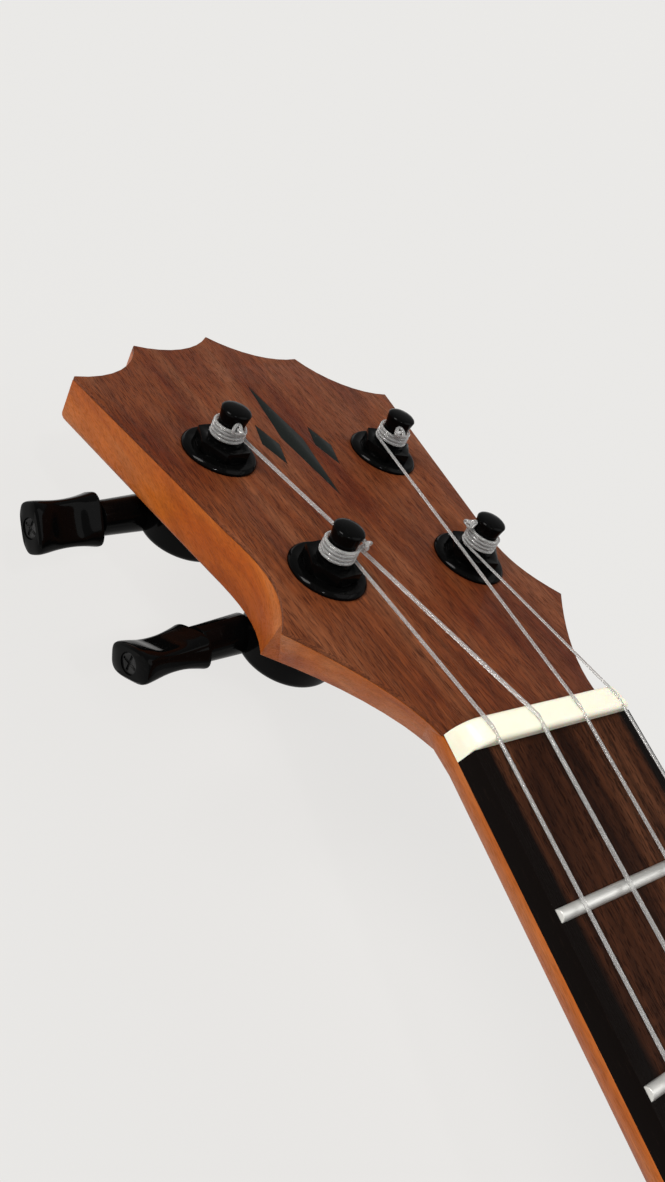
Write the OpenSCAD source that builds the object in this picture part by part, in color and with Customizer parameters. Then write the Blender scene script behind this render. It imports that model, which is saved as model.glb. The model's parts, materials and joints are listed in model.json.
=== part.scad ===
// Tenor ukulele with a five-point crowned headstock and sealed geared tuners.
// It lies on its back. X runs across the instrument to the treble side, Y from the tail to the
// headstock, Z up out of the soundboard. The origin is on the back's outer face, under the saddle.

/* [Scale and neck] */
// Vibrating string length, from the front of the nut to the saddle
scale_length = 432; // [428:1:436]
// Fingerboard width at the nut
nut_width = 38; // [36:0.5:39]
// Gain of the fingerboard's half width for each millimetre from the nut
board_flare = 0.013; // [0.010:0.001:0.015]
// Fingerboard thickness
board_t = 3.8; // [3.5:0.1:4.5]
// Number of frets
fret_count = 19; // [18:1:19]
// Depth of the neck shaft below the fingerboard, at the nut
shaft_depth = 11.8; // [11:0.1:14]

/* [Headstock] */
// Backward tilt of the headstock in degrees
head_tilt = 15; // [14:0.5:16]
// Headstock thickness with its face veneer
head_t = 9.4; // [9:0.1:12]
// Thickness of the face veneer
veneer_t = 0.8; // [0.6:0.1:1.5]

/* [Body] */
// Body depth, with soundboard and back
body_depth = 68; // [64:1:76]
// Thickness of the soundboard, the back and the sides
plate_t = 2; // [1.8:0.1:2.4]
// Radius of the sound hole
hole_r = 29; // [26:0.5:30]
// Tail end of the body, behind the saddle
tail_y = -112.6; // [-116:0.2:-110]

/* [Strings] */
// String spacing at the nut
nut_pitch = 10.3; // [9.5:0.1:10.6]
// String spacing at the saddle
saddle_pitch = 13.5; // [12.5:0.1:14.5]
// String radius
string_r = 0.35; // [0.3:0.01:0.4]

/* [Tuners] */
// Distance from the post's axis to the worm's axis
worm_offset = 4.6; // [4.6:0.1:4.8]
// Angle of the button shafts towards the nut in degrees
shaft_rake = 8; // [4:1:10]

/* [Hidden] */
wheel_teeth = 14;                        // the gear ratio, as the worm has a single start
$fn = 48;
eps = 0.01;

// Heights and stations
board_z = body_depth + board_t;          // top of the fingerboard
nut_t = 4.4;
nut_back = scale_length + nut_t;         // where the headstock face begins
face_drop = 3.5;                         // headstock face below the fingerboard's top, at the nut
board_end = 141.5;
joint_y = fret_y(14);                    // body and heel meet under the fourteenth fret
function fret_y(n) = scale_length * pow(2, -n / 12);
function board_half(y) = nut_width / 2 + board_flare * (scale_length - y);

// ---------- Plan of the body: five tangent arcs a side ----------
lower_r = 78;
lower_x = 35;
lower_y = -18;
upper_r = 56;
upper_x = 28;
upper_y = 132;
waist_r = 52.5;
// Arcs centred on the middle line that touch a bout's arc inside: p is the bout's centre
// measured from the end of the body, r its radius and x its offset from the middle line.
function end_radius(x, r, p) = (x * x + p * p - r * r) / (2 * (p - r));
tail_r = end_radius(lower_x, lower_r, lower_y - tail_y);
tail_cy = tail_y + tail_r;
top_r = end_radius(upper_x, upper_r, joint_y - upper_y);
top_cy = joint_y - top_r;
// Waist centre: where circles round both bout centres cross, on the outer side
bout_d = norm([upper_x - lower_x, upper_y - lower_y]);
reach_l = lower_r + waist_r;
reach_u = upper_r + waist_r;
along = (bout_d * bout_d + reach_l * reach_l - reach_u * reach_u) / (2 * bout_d);
aside = sqrt(reach_l * reach_l - along * along);
bout_dir = [upper_x - lower_x, upper_y - lower_y] / bout_d;
waist_c = [lower_x, lower_y] + along * bout_dir + aside * [bout_dir[1], -bout_dir[0]];

// n steps along an arc about c from angle a to angle b
function arc(c, r, a, b, n) = [for (i = [0:n]) let (t = a + (b - a) * i / n) c + r * [cos(t), sin(t)]];
function heading(p, q) = atan2(q[1] - p[1], q[0] - p[0]);
function half_plan(inset) = let (
    lc = [lower_x, lower_y], uc = [upper_x, upper_y],
    a1 = heading([0, tail_cy], lc), a2 = heading(lc, waist_c),
    a3 = heading(waist_c, uc), a4 = heading(uc, waist_c), a5 = heading([0, top_cy], uc))
    concat(
        arc([0, tail_cy], tail_r - inset, -90, a1, 8),
        arc(lc, lower_r - inset, a1, a2, 24),
        arc(waist_c, waist_r + inset, a2 + 180, a3 < 0 ? a3 + 360 : a3, 12),
        arc(uc, upper_r - inset, a4, a5, 16),
        arc([0, top_cy], top_r - inset, a5, 90, 6));
function mirrored(pts) = [for (i = [len(pts) - 1:-1:0]) [-pts[i][0], pts[i][1]]];
same_place = 0.02;
function distinct(pts) = [for (i = [0:len(pts) - 1])
    if (norm(pts[i] - pts[(i + 1) % len(pts)]) > same_place) pts[i]];
function plan(inset) = distinct(concat(half_plan(inset), mirrored(half_plan(inset))));
module plan_slab(inset, z0, z1) {
    translate([0, 0, z0]) linear_extrude(z1 - z0) polygon(plan(inset));
}

// ---------- Body shell ----------
top_z = body_depth - plate_t;
hole_y = 104;
rosette_in = hole_r + 2;
rosette_out = hole_r + 6;
rosette_t = 0.6;
module soundboard() {
    color("#9c5a3a") difference() {
        plan_slab(0, top_z, body_depth);
        translate([0, hole_y, top_z - 1]) cylinder(r = hole_r, h = plate_t + 2, $fn = 96);
        translate([0, hole_y, body_depth - rosette_t]) difference() {
            cylinder(r = rosette_out, h = 1, $fn = 96);
            cylinder(r = rosette_in, h = 1, $fn = 96);
        }
    }
}
module rosette() {
    color("#2b1a12") translate([0, hole_y, body_depth - rosette_t]) difference() {
        cylinder(r = rosette_out, h = rosette_t, $fn = 96);
        translate([0, 0, -1]) cylinder(r = rosette_in, h = 3, $fn = 96);
    }
}
module back_plate() {
    color("#9c5a3a") plan_slab(0, 0, plate_t);
}
bolt_z = 44;
bolt_r = 3;
module bolt_axis(r, y0, y1) {
    translate([0, y0, bolt_z]) rotate([-90, 0, 0]) cylinder(r = r, h = y1 - y0);
}
// One bent side. hand is -1 for the bass side and 1 for the treble side.
module side(hand) {
    color("#8f5033") difference() {
        intersection() {
            plan_slab(0, plate_t, top_z);
            translate([hand < 0 ? -200 : 0, -150, 0]) cube([200, 400, body_depth]);
        }
        plan_slab(plate_t, 0, body_depth);
        bolt_axis(bolt_r + 0.3, joint_y - 10, joint_y + 10);
    }
}

// ---------- Inside the body ----------
block_half = 27;
neck_block_y = joint_y - 30;
tail_block_y = tail_y + 16;
lining_w = 5;
lining_h = 7;
brace_w = 6;
brace_h = 8;
module block_bar(y0, y1, half = block_half) {
    translate([-half, y0, plate_t]) cube([2 * half, y1 - y0, top_z - plate_t]);
}
module neck_block() {
    color("#c9a06b") difference() {
        intersection() {
            plan_slab(plate_t, plate_t, top_z);
            block_bar(neck_block_y, joint_y + 10);
        }
        bolt_axis(bolt_r + 0.3, neck_block_y - 5, joint_y + 10);
    }
}
module tail_block() {
    color("#c9a06b") intersection() {
        plan_slab(plate_t, plate_t, top_z);
        block_bar(tail_y - 10, tail_block_y);
    }
}
// Strip glued into the corner between a plate and the sides, clear of both blocks
module linings(z0) {
    color("#d8b98a") difference() {
        plan_slab(plate_t, z0, z0 + lining_h);
        plan_slab(plate_t + lining_w, z0 - 1, z0 + lining_h + 1);
        block_bar(neck_block_y, joint_y + 10, block_half + 0.1);
        block_bar(tail_y - 10, tail_block_y, block_half + 0.1);
    }
}
module cross_brace(y, z0) {
    intersection() {
        translate([-150, y - brace_w / 2, z0]) cube([300, brace_w, brace_h]);
        plan_slab(plate_t + lining_w + 0.2, 0, body_depth);
    }
}
patch_half = 52;
patch_y = 14;
patch_t = 1.6;
module bridge_plate() {
    color("#c79a66") translate([-patch_half, -patch_y, top_z - patch_t])
        cube([2 * patch_half, 2 * patch_y, patch_t]);
}
fan_y0 = -84;
fan_y1 = 56;
fan_h = 6;
fan_x = [-34, 0, 34];
hole_gap = [12, 8];                      // from the sound hole to the braces behind and before it
module top_braces() {
    color("#dcc08f") {
        cross_brace(hole_y - hole_r - hole_gap[0], top_z - brace_h);
        cross_brace(hole_y + hole_r + hole_gap[1], top_z - brace_h);
        for (x = fan_x) difference() {
            translate([x - brace_w / 2, fan_y0, top_z - fan_h]) cube([brace_w, fan_y1 - fan_y0, fan_h]);
            translate([-patch_half, -patch_y, top_z - patch_t]) cube([2 * patch_half, 2 * patch_y, 3]);
        }
    }
}
back_brace_y = [-62, 20, 80, 146];
module back_braces() {
    color("#dcc08f") for (y = back_brace_y) cross_brace(y, plate_t);
}

// ---------- Bridge ----------
bridge_front = 9;
bridge_back = -20;
bridge_top = body_depth + 7;
wing_top = body_depth + 3.2;
bridge_half = 47;
core_half = 29;
saddle_t = 3;
saddle_half = 34;
slot_floor = body_depth + 2.5;
saddle_top = board_z + 5.65;
tie_z = body_depth + 4.6;
tie_hole_r = 0.7;
tie_front = -9;
function saddle_x(k) = (k - 1.5) * saddle_pitch;
function nut_x(k) = (k - 1.5) * nut_pitch;
module bridge() {
    color("#2e1d15") difference() {
        union() {
            translate([-bridge_half, bridge_back, body_depth])
                cube([2 * bridge_half, bridge_front - bridge_back, wing_top - body_depth]);
            translate([-saddle_half - 3, -4, body_depth])
                cube([2 * saddle_half + 6, 4 + bridge_front - 2, bridge_top - body_depth]);
            translate([-core_half, bridge_back + 1, body_depth])
                cube([2 * core_half, tie_front - bridge_back - 1, bridge_top - body_depth]);
        }
        translate([-saddle_half, -saddle_t / 2, slot_floor]) cube([2 * saddle_half, saddle_t, 20]);
        for (k = [0:3]) translate([saddle_x(k), bridge_back - 1, tie_z]) rotate([-90, 0, 0])
            cylinder(r = tie_hole_r, h = tie_front - bridge_back + 2, $fn = 24);
    }
}
module saddle() {
    color("#f2ecd4") translate([0, saddle_t / 2, 0]) rotate([90, 0, 0]) linear_extrude(saddle_t)
        polygon([[-saddle_half, slot_floor], [saddle_half, slot_floor], [saddle_half, saddle_top - 2],
            [saddle_half - 3, saddle_top], [3 - saddle_half, saddle_top], [-saddle_half, saddle_top - 2]]);
}

// ---------- Fingerboard, frets and dots ----------
fret_w = 2;
fret_h = 1;
fret_inset = 0.1;                        // from the board's edge to a fret's crown
tang_w = 0.5;
tang_d = 1.6;
tang_inset = 1.2;                        // from the board's edge to the end of its blind slot
module board_plan(y0, y1, grow = 0) {
    polygon([[-board_half(y0) - grow, y0], [board_half(y0) + grow, y0],
        [board_half(y1) + grow, y1], [-board_half(y1) - grow, y1]]);
}
dot_r = 3;
dot_t = 0.5;
dot_frets = [5, 7, 10];
function mid_fret(n) = (fret_y(n) + fret_y(n - 1)) / 2;
dots = concat([for (n = dot_frets) [0, mid_fret(n)]],
    [for (x = [-10, 10]) [x, mid_fret(12)]], [[0, mid_fret(15)]]);
module fingerboard() {
    color("#2a1811") difference() {
        translate([0, 0, body_depth]) linear_extrude(board_t) board_plan(board_end, scale_length);
        for (n = [1:fret_count]) tang(n, tang_d + 1);
        for (d = dots) translate([d[0], d[1], board_z - dot_t]) cylinder(r = dot_r, h = 2);
    }
}
module tang(n, h) {
    half = board_half(fret_y(n)) - tang_inset;
    translate([-half, fret_y(n) - tang_w / 2, board_z - tang_d]) cube([2 * half, tang_w, h]);
}
module fret(n) {
    half = board_half(fret_y(n)) - fret_inset;
    translate([-half, fret_y(n), board_z]) rotate([90, 0, 90]) linear_extrude(2 * half)
        polygon([for (a = [0:30:180]) [fret_w / 2 * cos(a), fret_h * sin(a)]]);
    tang(n, tang_d + eps);
}
module frets() {
    color("#c9c9c4") for (n = [1:fret_count]) fret(n);
}
module position_dots() {
    color("#e9e4d2") for (d = dots) translate([d[0], d[1], board_z - dot_t]) cylinder(r = dot_r, h = dot_t);
}

// ---------- Nut ----------
nut_top = 2;                              // above the fingerboard, at the front
nut_fall = 0.7;                           // how much lower the nut's back edge is
nut_round = 3.2;
string_rise = 2;                          // string centre above the fingerboard, at the nut
module nut() {
    color("#f6efcf") difference() {
        translate([0, scale_length + nut_t, 0]) rotate([90, 0, 0]) linear_extrude(nut_t)
            polygon(concat([[-nut_width / 2, board_z - board_t], [nut_width / 2, board_z - board_t]],
                arc([nut_width / 2 - nut_round, board_z + nut_top - nut_round], nut_round, 0, 90, 8),
                arc([nut_round - nut_width / 2, board_z + nut_top - nut_round], nut_round, 90, 180, 8)));
        translate([0, scale_length, board_z + nut_top])
            rotate([-atan(nut_fall / nut_t), 0, 0]) translate([-30, -1, 0]) cube([60, 12, 6]);
        for (k = [0:3]) string_tube(k, string_r + 0.05);
    }
}

// ---------- Headstock ----------
// Places on the headstock are [x, s, h]: s along its face from the nut, h above the face.
module on_face() {
    translate([0, nut_back, board_z - face_drop]) rotate([-head_tilt, 0, 0]) children();
}
function off_face(p) = let (c = cos(head_tilt), s = sin(head_tilt))
    [p[0], nut_back + p[1] * c + p[2] * s, board_z - face_drop - p[1] * s + p[2] * c];
crown = [[37.9, 88.1], [20, 100], [0, 105.8]];   // corner, shoulder and middle points of the crown
crown_r = [18.5, 20];                            // radii of the scallops between them
flare_start = [29.9, 46.2];
flare_mid = [[27.2, 36.2], [27.6, 31.2]];
ear = [33.4, 23.5];                              // lower corner at the face
ear_back_s = 27.4;                               // where the same corner reaches the back
throat = [19.8, 9.2];                            // control point of the curve from the ear to the nut
throat_back = [13.5, 13.5];
root = [19, 0];
root_back = [11, 0];
function bezier3(p, n) = [for (i = [0:n]) let (t = i / n, u = 1 - t)
    u * u * u * p[0] + 3 * u * u * t * p[1] + 3 * u * t * t * p[2] + t * t * t * p[3]];
function bezier2(p, n) = [for (i = [0:n]) let (t = i / n, u = 1 - t)
    u * u * p[0] + 2 * u * t * p[1] + t * t * p[2]];
// Arc of radius r from p to q that bulges to the left of the way from p to q
function scallop(p, q, r, n) = let (
    d = norm(q - p), left = [-(q - p)[1], (q - p)[0]] / d,
    c = (p + q) / 2 - left * sqrt(r * r - d * d / 4),
    a = heading(c, p), b = heading(c, q), turn = b - a)
    arc(c, r, a, a + turn - 360 * round(turn / 360), n);
lower_edge = bezier2([root, throat, ear], 10);
flare = bezier3([ear, flare_mid[1], flare_mid[0], flare_start], 10);
crown_edge = concat(scallop(crown[0], crown[1], crown_r[0], 8),
    scallop(crown[1], crown[2], crown_r[1], 8));
head_half = concat(lower_edge, flare, crown_edge);
head_plan = distinct(concat(head_half, mirrored(head_half)));
function half_width(s) = lookup(s, [for (p = concat(lower_edge, flare)) [p[1], p[0]]]);
back_edge = bezier2([root_back, throat_back, [half_width(ear_back_s), ear_back_s]], 10);
function back_half(s) = lookup(s, [for (p = back_edge) [p[1], p[0]]]);
upper_half = concat([[half_width(ear_back_s), ear_back_s]],
    [for (p = flare) if (p[1] > ear_back_s) p], crown_edge);
upper_plan = distinct(concat(upper_half, mirrored(upper_half)));
// Solid between rings of points, all with the same count
function ring_faces(rows, n) = concat(
    [for (r = [0:rows - 2]) for (i = [0:n - 1]) [r * n + i, (r + 1) * n + i, r * n + (i + 1) % n]],
    [for (r = [0:rows - 2]) for (i = [0:n - 1])
        [r * n + (i + 1) % n, (r + 1) * n + i, (r + 1) * n + (i + 1) % n]],
    [[for (i = [0:n - 1]) i]], [[for (i = [n - 1:-1:0]) (rows - 1) * n + i]]);
module loft(rings) {
    n = len(rings[0]);
    polyhedron([for (r = rings) for (p = r) p], ring_faces(len(rings), n), convexity = 8);
}
post_at = [[-17.1, 34.6], [-19.9, 66.2], [19.9, 66.2], [17.1, 34.6]];   // G, C, E and A
bore_r = 5;
module tuner_bores() {
    for (p = post_at) translate([p[0], p[1], -head_t - 5]) cylinder(r = bore_r, h = head_t + 10);
}
module headstock_veneer() {
    color("#6b3a2b") on_face() difference() {
        translate([0, 0, -veneer_t]) linear_extrude(veneer_t) polygon(head_plan);
        tuner_bores();
        inlay(1);
        rotate([head_tilt, 0, 0]) translate([-30, -10, -10]) cube([60, 10, 20]);
    }
}
// Generic inlay: a slim lozenge with a small one on each side
inlay_s = 71;
inlay_t = 0.3;
module inlay(h) {
    translate([0, inlay_s, -inlay_t]) linear_extrude(inlay_t + h) {
        polygon([[-2.6, 0], [0, -17], [2.6, 0], [0, 17]]);
        for (m = [-1, 1]) translate([m * 6.4, -2]) polygon([[-2, 0], [0, -6], [2, 0], [0, 6]]);
    }
}
module headstock_inlay() {
    color("#2c2623") on_face() inlay(0);
}

// ---------- Neck ----------
heel_low = 10.5;                         // height of the heel's foot before the cap is cut flat
heel_depth = body_depth - heel_low;
heel_foot = 14;
heel_cap_t = 2;
heel_flat = 10;                          // length of the heel at its foot
heel_sweep = 30;                         // length of the curve up to the shaft
shaft_full = 1.75;                       // fullness of the shaft's section, 2 being an ellipse
heel_full = 3.9;
shaft_gain = 1.6;                        // how much deeper the shaft is at the heel than at the nut
function heel_swell(y) = pow(1 - min(max((y - joint_y - heel_flat) / heel_sweep, 0), 1), 3);
function shaft_station(y) = [y, body_depth, board_half(y),
    shaft_depth + shaft_gain * (scale_length - y) / (scale_length - joint_y)
    + (heel_depth - shaft_depth - shaft_gain) * heel_swell(y),
    shaft_full + (heel_full - shaft_full) * heel_swell(y)];
volute_end = 24;
volute_half = 12;
volute_depth = head_t - veneer_t - 0.6;
volute_full = shaft_full + 0.3;
function between(a, b, t) = a * (1 - t) + b * t;
function volute_station(s) = let (p = off_face([0, s, -veneer_t]), t = s / volute_end)
    [p[1], p[2], between(root[0], volute_half, t), between(shaft_depth, volute_depth, t),
    between(shaft_full, volute_full, t)];
heel_steps = [-4, 4, heel_flat, 13, 17, 22, 28, 34, heel_flat + heel_sweep];
shaft_steps = [70, 130, 190];
stations = concat([for (d = concat(heel_steps, shaft_steps)) shaft_station(joint_y + d)],
    [shaft_station(scale_length)], [for (t = [0:0.25:1]) volute_station(t * volute_end)]);
// Half section of the neck as a superellipse, from side to side. A station st holds the
// section's y, its top's z, its half width, its depth and its exponent.
section_n = 20;
function section(st) = [for (i = [0:section_n]) let (x = st[2] * cos(180 * i / section_n))
    [x, st[0], st[1] - st[3] * pow(1 - pow(abs(x / st[2]), st[4]), 1 / st[4])]];
core_step = 3;
core_stations = concat([for (s = [0:core_step:ear[1] - 1]) s],
    [ear[1], (ear[1] + ear_back_s) / 2, ear_back_s]);
module headstock_core() {
    on_face() {
        loft([for (s = core_stations) [[-half_width(s), s, -veneer_t], [half_width(s), s, -veneer_t],
            [back_half(s), s, -head_t], [-back_half(s), s, -head_t]]]);
        translate([0, 0, -head_t]) linear_extrude(head_t - veneer_t) polygon(upper_plan);
    }
}
module shaft_and_heel() {
    difference() {
        loft([for (st = stations) section(st)]);
        plan_slab(0, -1, body_depth + 1);
    }
}
module neck() {
    color("#b5673a") difference() {
        union() {
            shaft_and_heel();
            headstock_core();
        }
        translate([-20, joint_y - 10, -1]) cube([40, 60, heel_foot + 1]);
        on_face() tuner_bores();
        bolt_axis(insert_r, joint_y - 10, joint_y + insert_len);
        for (k = [0:3]) tuner(k) mount_screw_hole(screw_r);
    }
}
module heel_cap() {
    color("#2a1811") intersection() {
        shaft_and_heel();
        translate([-20, joint_y - 10, heel_foot - heel_cap_t]) cube([40, 60, heel_cap_t]);
    }
}
insert_r = 5;
insert_len = 14;
module neck_insert() {
    color("#b9974f") difference() {
        bolt_axis(insert_r, joint_y, joint_y + insert_len);
        bolt_axis(bolt_r, joint_y - 1, joint_y + insert_len + 1);
    }
}
module neck_bolt() {
    color("#8d8d8d") difference() {
        union() {
            bolt_axis(bolt_r - 0.02, neck_block_y, joint_y + insert_len - 2);
            bolt_axis(5.5, neck_block_y - 4, neck_block_y);
        }
        translate([0, neck_block_y - 4.1, bolt_z]) rotate([-90, 0, 0]) cylinder(r = 2.6, h = 2.4, $fn = 6);
    }
}

// ---------- Strings ----------
string_h = 3.7;                          // height of a string over the face where it meets its post
wrap_r = 2.85;                           // radius of the string's centre line round the post
// Where a string leaves the nut for the inner side of its post, worked out on the face
function on_plan(p) = let (c = cos(head_tilt), s = sin(head_tilt), y = p[1] - nut_back,
    z = p[2] - board_z + face_drop) [p[0], y * c - z * s, y * s + z * c];
function nut_point(k) = [nut_x(k), scale_length + nut_t / 2, board_z + string_rise];
function post_point(k) = let (
    n = on_plan(nut_point(k)), d = post_at[k] - [n[0], n[1]], l = norm(d),
    a = atan2(d[1], d[0]) + (k < 2 ? -1 : 1) * asin(wrap_r / l), reach = sqrt(l * l - wrap_r * wrap_r))
    off_face([n[0] + reach * cos(a), n[1] + reach * sin(a), string_h]);
string_over = saddle_top + string_r + 0.02;
function string_route(k) = [
    [saddle_x(k), bridge_back - 1.5, tie_z], [saddle_x(k), tie_front + 0.4, tie_z],
    [saddle_x(k), -1.1, string_over], [saddle_x(k), 0.6, string_over],
    [nut_x(k), scale_length, board_z + string_rise], nut_point(k), post_point(k)];
function unit(v) = v / norm(v);
function step_from(pts, i) = let (k = min(max(i, 0), len(pts) - 2)) unit(pts[k + 1] - pts[k]);
function tangent(pts, i) = unit(step_from(pts, i - 1) + step_from(pts, i));
tube_sides = 8;
function tube_ring(c, t, r) = let (right = unit(cross(t, [0, 0, 1])), up = cross(right, t))
    [for (i = [0:tube_sides - 1]) let (a = 360 * i / tube_sides) c + r * (cos(a) * right - sin(a) * up)];
module string_tube(k, r) {
    pts = string_route(k);
    loft([for (i = [0:len(pts) - 1]) tube_ring(pts[i], tangent(pts, i), r)]);
}
module string(k) {
    color("#e6e6e2") string_tube(k, string_r);
}

// ---------- Tuners ----------
// Each tuner is drawn with its post's axis along Z through the headstock's face, and its button
// shaft along X. The bass side's are mirrored.
module tuner(k) {
    on_face() translate([post_at[k][0], post_at[k][1], 0]) mirror([k < 2 ? 1 : 0, 0, 0])
        rotate([0, 0, -shaft_rake]) children();
}
button_turn = [-25, 50, 20, 75];         // how far each button happens to be turned
post_r = 3;
run = 0.05;                              // running clearance of a shaft in its bearing
neck_r = 2.4;                            // post's waist, under the string
neck_bottom = 3.25;
neck_top = 6.9;
cap_r = 2.75;
cap_h = 8.9;
post_top = 9.6;
post_foot = -14.2;                       // where the post steps down to the wheel's seat
hub_end = -17.4;
string_hole_h = 4.6;
string_hole_r = 0.45;
worm_h = -15.8;                          // height of the button shaft's axis from the face
wheel_t = 2.4;
wheel_pocket = -14;                      // roof of the wheel's pocket
worm_pitch_r = 1.8;
worm_tail = -5.5;                        // end of the worm's inner journal
wheel_r = worm_offset - worm_pitch_r;    // pitch radius of the wheel
lead = 2 * PI * wheel_r / wheel_teeth;   // advance of the single-start worm in one turn
hub_r = 1.2;
addend = 0.33;
dedend = 0.5;
thread_turns = 4;
housing_r = 9;
housing_back = -18.25;
cover_back = -18.9;
cover_r = 7.4;
cover_edge = 0.6;
collar_end = 17.4;
shaft_r = 1.6;
shaft_end = 26;
button_start = 17.8;
button_end = 30.6;
button_screw_r = 1.9;
screw_shank_r = 0.8;
screw_seat = 0.9;                        // depth of the seat in the button's end
screw_sink = 0.2;
cross_w = 0.5;
cross_len = 3;
housing_edge = 1.5;
worm_pocket = 3;                         // half length of the pocket round the worm
collar_start = 5;
collar_r = [3.5, 3.1];
screw_r = 1;
screw_len = 6;
screw_head_r = 1.9;
ear_v = 11.6;                            // mounting screw's distance from the post
ear_t = 1.3;
ear_r = 3;
module shaft_bar(r, u0, u1, sides = 48) {
    translate([u0, worm_offset, worm_h]) rotate([0, 90, 0]) cylinder(r = r, h = u1 - u0, $fn = sides);
}
module mount_screw_hole(r) {
    translate([0, ear_v, -head_t - ear_t - 1]) cylinder(r = r, h = ear_t + screw_len + 1);
}
module housing(k) {
    color("#141414") tuner(k) difference() {
        union() {
            rotate_extrude() polygon(concat([[0, -head_t], [housing_r, -head_t]],
                arc([housing_r - housing_edge, housing_back + housing_edge], housing_edge, 0, -90, 6),
                [[0, housing_back]]));
            intersection() {
                translate([collar_start, worm_offset, worm_h]) rotate([0, 90, 0])
                    cylinder(r1 = collar_r[0], r2 = collar_r[1], h = collar_end - collar_start);
                translate([cover_r + 0.15, -10, -30]) cube([20, 30, 30]);
            }
            translate([-ear_r, 0, -head_t - ear_t]) cube([2 * ear_r, ear_v, ear_t]);
            translate([0, ear_v, -head_t - ear_t]) cylinder(r = ear_r, h = ear_t);
        }
        translate([0, 0, -20]) cylinder(r = post_r + run, h = 20);
        translate([0, 0, housing_back - 1])
            cylinder(r = wheel_r + addend + 0.3, h = wheel_pocket - housing_back + 1);
        shaft_bar(worm_pitch_r + addend + 0.2, -worm_pocket, worm_pocket);
        shaft_bar(shaft_r + run, worm_pocket - 1, collar_end + 1);
        shaft_bar(hub_r + run, worm_tail - 0.1, 0);
        mount_screw_hole(screw_r + 0.1);
    }
}
module tuner_covers() {
    color("#101010") for (k = [0:3]) tuner(k) difference() {
        rotate_extrude() polygon(concat([[0, housing_back]], [[cover_r, housing_back]],
            arc([cover_r - cover_edge, cover_back + cover_edge], cover_edge, 0, -90, 4), [[0, cover_back]]));
        shaft_bar(worm_pitch_r + addend + 0.1, -worm_pocket, worm_pocket);
    }
}
washer_r = 6.95;
washer_t = 1;
hex_r = 5.1;
hex_h = 2;
tube_r = 4.6;
module tuner_washers() {
    color("#0f0f0f") for (k = [0:3]) tuner(k) rotate_extrude()
        polygon([[tube_r + 0.1, 0], [washer_r, 0], [washer_r, washer_t / 2],
            [washer_r - washer_t / 2, washer_t], [tube_r + 0.1, washer_t]]);
}
module tuner_bushings() {
    color("#101010") for (k = [0:3]) tuner(k) difference() {
        union() {
            translate([0, 0, run - head_t]) cylinder(r = tube_r, h = head_t + washer_t);
            translate([0, 0, washer_t]) cylinder(r = hex_r, h = hex_h, $fn = 6);
        }
        translate([0, 0, -head_t - 1]) cylinder(r = post_r + run, h = head_t + washer_t + hex_h + 2);
    }
}
module tuner_mount_screws() {
    color("#202020") for (k = [0:3]) tuner(k) translate([0, ear_v, -head_t - ear_t]) {
        cylinder(r = screw_r, h = ear_t + screw_len);
        rotate_extrude() polygon([[0, 0], [screw_head_r, 0], [screw_head_r - 0.2, -0.6],
            [screw_head_r - 0.8, -1], [0, -1.1]]);
    }
}
module post(k) {
    color("#121212") tuner(k) difference() {
        rotate_extrude() polygon(concat([[0, hub_end], [hub_r, hub_end], [hub_r, post_foot],
            [post_r, post_foot], [post_r, neck_bottom - 0.1], [neck_r, neck_bottom],
            [neck_r, neck_top], [cap_r, cap_h]],
            bezier2([[cap_r, cap_h], [cap_r - 0.1, post_top - 0.1], [0, post_top]], 6)));
        translate([0, 0, string_hole_h]) rotate([90, 0, 25])
            cylinder(r = string_hole_r, h = 4 * post_r, center = true);
    }
}
wind_h = 4.5;                            // height of the lowest turn
wind_step = 0.64;
wind_turns = 4;
module winding(k) {
    color("#e6e6e2") tuner(k) rotate_extrude() {
        translate([neck_r + 0.03, wind_h - 0.3]) square([string_r, wind_step * (wind_turns - 1) + 0.6]);
        for (i = [0:wind_turns - 1]) translate([wrap_r, wind_h + i * wind_step]) circle(r = string_r);
    }
}
// Worm thread: in a section across its axis, a single-start thread's radius goes through one
// pitch of its profile in one turn. crest and foot are shares of a pitch from the thread's middle.
crest = 0.13;
foot = 0.31;
function thread_r(t) = lookup(abs(t), [[crest, worm_pitch_r + addend], [foot, worm_pitch_r - dedend]]);
module worm(k) {
    color("#8f9194") tuner(k) difference() {
        union() {
            translate([0, worm_offset, worm_h]) rotate([0, 90, 0])
                linear_extrude(thread_turns * lead, center = true, twist = -360 * thread_turns, slices = 32)
                polygon([for (i = [0:15]) let (t = i / 16) thread_r(t > 0.5 ? t - 1 : t)
                    * [cos(360 * t - 90), sin(360 * t - 90)]]);
            shaft_bar(hub_r, worm_tail, -1);
            shaft_bar(shaft_r, thread_turns * lead / 2 - 0.05, shaft_end);
        }
        shaft_bar(screw_shank_r, shaft_end - 3, shaft_end + 1);
    }
}
module wheel(k) {
    helix = 360 * wheel_t * (lead / (2 * PI * worm_pitch_r)) / (2 * PI * wheel_r);
    step = 360 / wheel_teeth;
    color("#b08d4a") tuner(k) translate([0, 0, worm_h]) difference() {
        rotate([0, 0, 90 - helix / 2])
            linear_extrude(wheel_t, center = true, twist = -helix, slices = 4)
            polygon([for (i = [0:wheel_teeth - 1]) for (c = [[-0.30, -dedend], [-0.11, addend - 0.03],
                [0.11, addend - 0.03], [0.30, -dedend]]) let (a = step * (i + 0.5 + c[0]))
                (wheel_r + c[1]) * [cos(a), sin(a)]]);
        cylinder(r = hub_r, h = 10, center = true);
    }
}
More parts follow.
